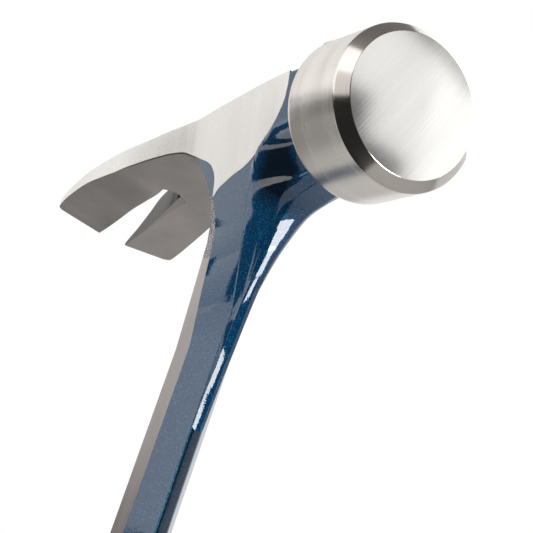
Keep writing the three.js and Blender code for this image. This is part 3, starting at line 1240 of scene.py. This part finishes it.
low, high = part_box("top_collar")
corners = [(low.z, small_corner), (low.z + small_corner, 0.0)]
corners += [
    (high.z - collar_round * (1 - math.sin(angle)), collar_round * (1 - math.cos(angle)))
    for angle in round_angles
]
collar = bored_ring("top_collar_steel", corners, low, high)
finish_ring(collar, "top_collar", steel_material)
print("cap and collar made")

# %% [markdown]
# Leather is sanded, dyed unevenly and darkened by hands. Each of three tints has pores, fine
# grain and stains. The grain runs round the washers, since their cut edges show, so its noise
# is squeezed along the handle.

# %% Leather
tints = [
    ((0.30, 0.125, 0.05), (0.44, 0.20, 0.085)),
    ((0.22, 0.085, 0.035), (0.34, 0.14, 0.06)),
    ((0.15, 0.06, 0.028), (0.25, 0.105, 0.05)),
]
for made, (dark, light) in zip(leather_materials, tints):
    leather = Finish(made)
    stains = leather.noise(leather.stretched((60, 60, 120)), 1.0, 4.0)
    fibres = leather.noise(leather.stretched((420, 420, 2600)), 1.0, 3.0)
    pores = leather.add("ShaderNodeTexVoronoi", {"Vector": leather.place, "Scale": 1500.0})
    pits = leather.ramp(pores.outputs["Distance"], [(0.0, 0.0), (0.35, 1.0)])
    stained = leather.ramp(stains, [(0.3, dark), (0.7, light)])
    grain_colour = tuple(part * 0.5 for part in dark)
    grain = leather.math("ADD", leather.range(fibres, 0.0, 0.6), leather.range(pits, 0.0, 0.4))
    leather.finish(
        Base_Color=leather.blend(leather.range(fibres, 0.0, 0.5), stained, grain_colour),
        Roughness=leather.range(stains, 0.42, 0.6),
        Coat_Weight=0.25,
        Coat_Roughness=0.25,
        Normal=leather.bump(grain, 0.35, 0.0001),
    )
print("leather done")

# %% [markdown]
# The fibre rings are hard and smooth, with faint flecks in the blue. The cap and collar are
# satin steel, turned, so their lines run round them.

# %% Fibre and steel
fibre = Finish(fibre_material)
flecks = fibre.noise(fibre.place, 1400.0, 3.0)
fibre.finish(
    Base_Color=fibre.ramp(flecks, [(0.35, (0.012, 0.04, 0.13)), (0.65, (0.022, 0.075, 0.21))]),
    Roughness=fibre.range(flecks, 0.32, 0.46),
    Normal=fibre.bump(flecks, 0.1, 0.00005),
)
steel = Finish(steel_material)
lathe_lines = steel.noise(steel.stretched((40, 40, 2800)), 1.0, 2.0)
wear = steel.noise(steel.place, 90.0, 4.0)
steel.finish(
    Base_Color=steel.ramp(wear, [(0.3, (0.50, 0.48, 0.46)), (0.7, (0.66, 0.64, 0.62))]),
    Metallic=1.0,
    Roughness=steel.range(wear, 0.26, 0.42),
    Normal=steel.bump(lathe_lines, 0.15, 0.00005),
)
print("grip finishes done")

# %% [markdown]
# The stage is a plain pale floor. It is matt, so that the steel sees no glare in it.

# %% Floor
floor_size, floor_drop = 6.0, 0.0005
deselect_all()
bpy.ops.mesh.primitive_plane_add(size=floor_size, location=(0, 0, -floor_drop))
floor = bpy.context.object
floor.name = "floor"
floor_material = bpy.data.materials.new("pale_floor")
floor.data.materials.append(floor_material)
plain = Finish(floor_material)
plain.finish(Base_Color=(0.82, 0.82, 0.82, 1), Roughness=1.0, Specular_IOR_Level=0.0)
print("floor made")

# %% [markdown]
# A white world gives the plain background. Light Path tells what kind of ray asks: the camera
# and reflections see full white, and the rest gets a weaker light, so that colours render
# about as they are written.

# %% White world
light_strength, seen_strength = 0.6, 1.0
world = bpy.data.worlds.new("white_studio")
bpy.context.scene.world = world
world.use_nodes = True
sky = world.node_tree
background = sky.nodes["Background"]
background.inputs["Color"].default_value = (1, 1, 1, 1)
path = sky.nodes.new("ShaderNodeLightPath")
seen = sky.nodes.new("ShaderNodeMath")
seen.operation = "MAXIMUM"
seen_or_glossy = sky.nodes.new("ShaderNodeMath")
seen_or_glossy.operation = "MAXIMUM"
strength = sky.nodes.new("ShaderNodeMapRange")
strength.inputs["To Min"].default_value = light_strength
strength.inputs["To Max"].default_value = seen_strength
sky.links.new(path.outputs["Is Camera Ray"], seen.inputs[0])
sky.links.new(path.outputs["Is Glossy Ray"], seen.inputs[1])
sky.links.new(seen.outputs[0], seen_or_glossy.inputs[0])
sky.links.new(path.outputs["Is Transmission Ray"], seen_or_glossy.inputs[1])
sky.links.new(seen_or_glossy.outputs[0], strength.inputs["Value"])
sky.links.new(strength.outputs["Result"], background.inputs["Strength"])
print("world made")

# %% [markdown]
# Two large soft lamps light the hammer, a tall key on its near side and a smaller fill behind
# it. Every lamp is placed from the head, by its turn from the striking face and its lift from
# level. The key's brightness is given as what a reflection sees, and turned into power.

# %% Softboxes
head_middle = at(0.045, 0.0, -0.01)
key_foot, key_top, key_width = 0.30, 1.9, 1.2
key_radiance = 1.35
fill_size, fill_power = 0.9, 3.2


def toward(turn, lift, distance):
    """A place seen from the head at a turn from the striking face and a lift from level."""
    turn, lift = math.radians(turn), math.radians(lift)
    return head_middle + distance * Vector((
        math.cos(lift) * math.cos(turn), math.cos(lift) * math.sin(turn), math.sin(lift)))


def power_of(radiance, width, height):
    return radiance * math.pi * width * height


def area_lamp(name, width, height, power, place, axes):
    """A rectangular lamp at a place, turned by a matrix of its three axes."""
    lamp_data = bpy.data.lights.new(name, "AREA")
    lamp_data.shape = "RECTANGLE"
    lamp_data.size, lamp_data.size_y = width, height
    lamp_data.energy = power
    lamp = bpy.data.objects.new(name, lamp_data)
    bpy.context.scene.collection.objects.link(lamp)
    lamp.matrix_world = Matrix.Translation(place) @ axes.to_4x4()
    return lamp


def aimed(place, target):
    return (target - place).to_track_quat("-Z", "Y").to_matrix()


key_place = toward(-87, 0, 1.25)
key_place.z = (key_foot + key_top) / 2
key_target = Vector((head_middle.x, head_middle.y, key_place.z))
key_height = key_top - key_foot
key = area_lamp("key_softbox", key_width, key_height,
                power_of(key_radiance, key_width, key_height),
                key_place, aimed(key_place, key_target))
fill_place = toward(125, 42, 1.3)
area_lamp("fill_softbox", fill_size, fill_size, fill_power,
          fill_place, aimed(fill_place, head_middle))
print("key at", [round(value, 3) for value in key_place])

# %% [markdown]
# A real softbox is dimmer towards an end. A lamp has nodes of its own, so the key's strength
# follows the place across it, and its reflection in a flat cheek fades instead of stopping.

# %% Graded key
dim_end, bright_from = 0.42, 0.5
key.data.use_nodes = True
glow = key.data.node_tree
lamp_face = glow.nodes.new("ShaderNodeNewGeometry")
parts = glow.nodes.new("ShaderNodeSeparateXYZ")
fade = glow.nodes.new("ShaderNodeMapRange")
fade.inputs["From Min"].default_value, fade.inputs["From Max"].default_value = 0.0, bright_from
fade.inputs["To Min"].default_value, fade.inputs["To Max"].default_value = dim_end, 1.0
glow.links.new(lamp_face.outputs["Parametric"], parts.inputs[0])
glow.links.new(parts.outputs["X"], fade.inputs["Value"])
glow.links.new(fade.outputs["Result"], glow.nodes["Emission"].inputs["Strength"])
print("key graded from", dim_end)

# %% [markdown]
# Glossy paint and polished steel show their surroundings more than their own colour. Six
# strips of light draw the bright lines on the neck, the bell, the face and the claws. Only
# reflections see them, so they do not light the object. Each reaches from one direction to
# another, given as turn, lift and distance, with a width and a radiance.

# %% Strip lamps
strips = {
    "kicker_light": ((21, -50, 0.4), (21, -27, 0.4), 0.21, 13),
    "kicker_neck_light": ((18, -32.3, 0.355), (18, -18.3, 0.316), 0.13, 13),
    "kicker_tip_light": ((16, -15.7, 0.519), (17, -6.0, 0.503), 0.10, 13),
    "side_card_light": ((-126, 5, 1.1), (-126, 26, 1.1), 0.55, 0.4),
    "face_card_light": ((46, 5, 1.1), (66, 55, 1.1), 0.55, 0.3),
    "sliver_light": ((66, -4, 0.9), (78, 26, 0.9), 0.04, 16),
}
for name, (start, end, width, radiance) in strips.items():
    first, last = toward(*start), toward(*end)
    along, centre = last - first, (first + last) / 2
    facing = (head_middle - centre).normalized()
    sideways = along.cross(facing).normalized()
    upright = (-facing).cross(sideways).normalized()
    axes = Matrix((sideways, upright, -facing)).transposed()
    power = power_of(radiance, width, along.length)
    strip = area_lamp(name, width, along.length, power, centre, axes)
    strip.visible_camera = strip.visible_diffuse = False
print("strips", len(strips))

# %% [markdown]
# Cards work the other way: where the white world would wash a reflection out, black felt or
# grey card darkens it. Each standing card is a part of a circle round the head, swept upwards,
# and one lies on the floor and one hangs above. Only reflections see them. They cast no shadow
# and give no light, and they belong to the stage, not to the hammer.

# %% Cards
card_sides = 120
felt_material = bpy.data.materials.new("black_felt")
felt = Finish(felt_material)
felt.finish(Base_Color=(0.01, 0.01, 0.011, 1), Roughness=0.9)
card_material = bpy.data.materials.new("grey_card")
card = Finish(card_material)
card.finish(Base_Color=(0.42, 0.41, 0.4, 1), Roughness=0.9)


def set_card(piece, name, made):
    """Name a card, cover it, and hide it from all but reflections."""
    piece.name = name
    piece.data.materials.append(made)
    piece.visible_camera = piece.visible_diffuse = piece.visible_shadow = False


def standing_card(name, turns, heights, radius, made):
    """A card bent round the head, from one turn to another and from one height to another."""
    deselect_all()
    bpy.ops.mesh.primitive_circle_add(vertices=card_sides, radius=radius)
    piece = bpy.context.object
    bpy.ops.object.mode_set(mode="EDIT")
    mesh = bmesh.from_edit_mesh(piece.data)
    for edge in list(mesh.edges):
        middle = (edge.verts[0].co + edge.verts[1].co) / 2
        if not turns[0] < math.degrees(math.atan2(middle.y, middle.x)) < turns[1]:
            mesh.edges.remove(edge)
    for vert in [vert for vert in mesh.verts if not vert.link_edges]:
        mesh.verts.remove(vert)
    for vert in mesh.verts:
        vert.co += Vector((head_middle.x, 0, heights[0]))
    for edge in mesh.edges:
        edge.select = True
    bmesh.update_edit_mesh(piece.data)
    rise = (0, 0, heights[1] - heights[0])
    bpy.ops.mesh.extrude_region_move(TRANSFORM_OT_translate={"value": rise})
    bpy.ops.object.mode_set(mode="OBJECT")
    set_card(piece, name, made)


def lying_card(name, size, place, made):
    bpy.ops.mesh.primitive_plane_add(size=size, location=place)
    set_card(bpy.context.object, name, made)


level = head_middle.z
standing = {
    "near_flag": ((-148, -117), (0.0, level + 0.178), 2.0, felt_material),
    "front_flag": ((-75, 15), (0.0, level + 0.83), 2.05, felt_material),
    "side_front_flag": ((15, 30), (0.0, level + 0.40), 2.05, felt_material),
    "low_flag": ((164, 177), (0.0, level - 0.21), 0.42, felt_material),
    "low_near_flag": ((-135, -88), (0.0, 0.343), 1.15, felt_material),
    "neck_flag": ((-143, -134), (0.4175, 0.4365), 0.25, felt_material),
    "flank_flag": ((-140, -124), (0.360, 0.3725), 0.25, felt_material),
    "flank_mid_flag": ((-121, -113), (0.3605, 0.3652), 0.25, felt_material),
    "lower_flank_flag": ((-156, -153), (0.30, 0.400), 0.25, felt_material),
    "side_flag": ((-179.9, -140), (0.0, level - 0.025), 0.62, card_material),
}
for name, (turns, heights, radius, made) in standing.items():
    standing_card(name, turns, heights, radius, made)
lying_card("floor_felt", 2.0, (0.90, -0.97, 0.0005), felt_material)
lying_card("ceiling_card", 2.6, (0.0, 0.2, 1.75), card_material)
print("cards", len(standing) + 2)

# %% [markdown]
# Colours are shown as they are, without a film curve.

# %% Colour view
bpy.context.scene.view_settings.view_transform = "Standard"
